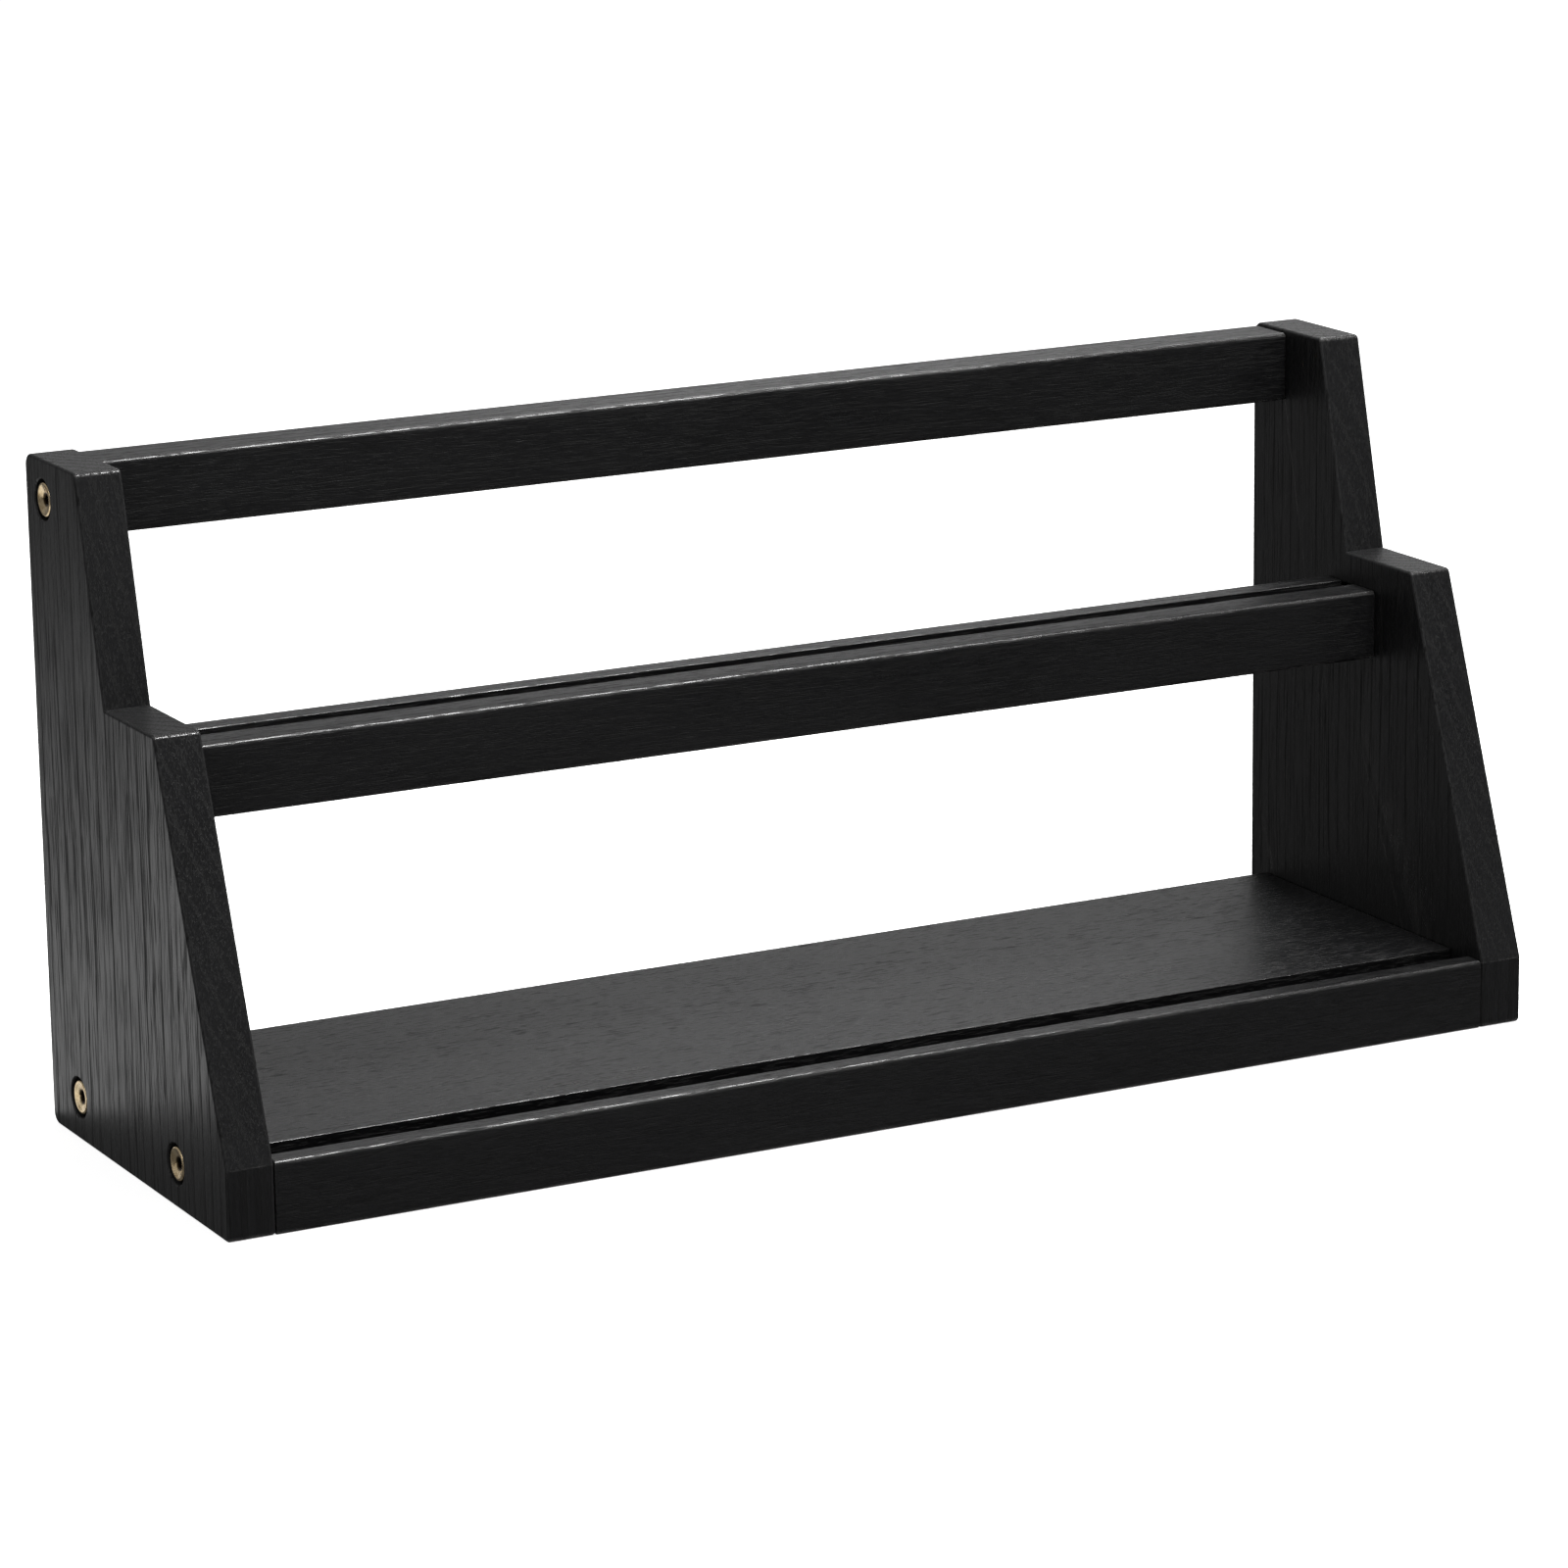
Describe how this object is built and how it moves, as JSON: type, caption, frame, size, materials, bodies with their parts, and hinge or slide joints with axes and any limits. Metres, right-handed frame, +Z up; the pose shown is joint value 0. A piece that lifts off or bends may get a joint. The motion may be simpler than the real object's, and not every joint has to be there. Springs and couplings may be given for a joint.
{
  "type": "desk hutch",
  "caption": "Low desktop rack in black-stained wood: stepped side panels, a shelf with a tray groove and front rail, a grooved middle rail and a plain top rail, with brass connector bolts.",
  "frame": {"origin": "on the surface that the hutch stands on, at the middle of its length and of its depth", "axes": "+X along the length to the right as seen from the front, +Y to the back, +Z up"},
  "size_m": [0.6, 0.185, 0.28],
  "materials": {
    "black_wood": "satin black stain over open grain",
    "brass": "antique brass, satin",
    "zinc_steel": "zinc plated",
    "dowel_wood": "plain beech"
  },
  "bodies": {
    "root": {"side_panel_left": "black_wood", "side_panel_right": "black_wood", "upper_rail": "black_wood", "middle_rail": "black_wood", "front_rail": "black_wood", "shelf_board": "black_wood", "connector_bolt_upper_left": "brass", "connector_bolt_lower_back_left": "brass", "connector_bolt_lower_front_left": "brass", "connector_bolt_upper_right": "brass", "connector_bolt_lower_back_right": "brass", "connector_bolt_lower_front_right": "brass", "threaded_insert_upper_left": "zinc_steel", "threaded_insert_lower_back_left": "zinc_steel", "threaded_insert_lower_front_left": "zinc_steel", "threaded_insert_upper_right": "zinc_steel", "threaded_insert_lower_back_right": "zinc_steel", "threaded_insert_lower_front_right": "zinc_steel", "dowel_upper_rail_left": "dowel_wood", "dowel_middle_rail_back_left": "dowel_wood", "dowel_middle_rail_front_left": "dowel_wood", "dowel_shelf_left": "dowel_wood", "dowel_front_rail_left": "dowel_wood", "dowel_upper_rail_right": "dowel_wood", "dowel_middle_rail_back_right": "dowel_wood", "dowel_middle_rail_front_right": "dowel_wood", "dowel_shelf_right": "dowel_wood", "dowel_front_rail_right": "dowel_wood", "dowel_shelf_lip_left": "dowel_wood", "dowel_shelf_lip_centre": "dowel_wood", "dowel_shelf_lip_right": "dowel_wood"}
  },
  "joints": []
}
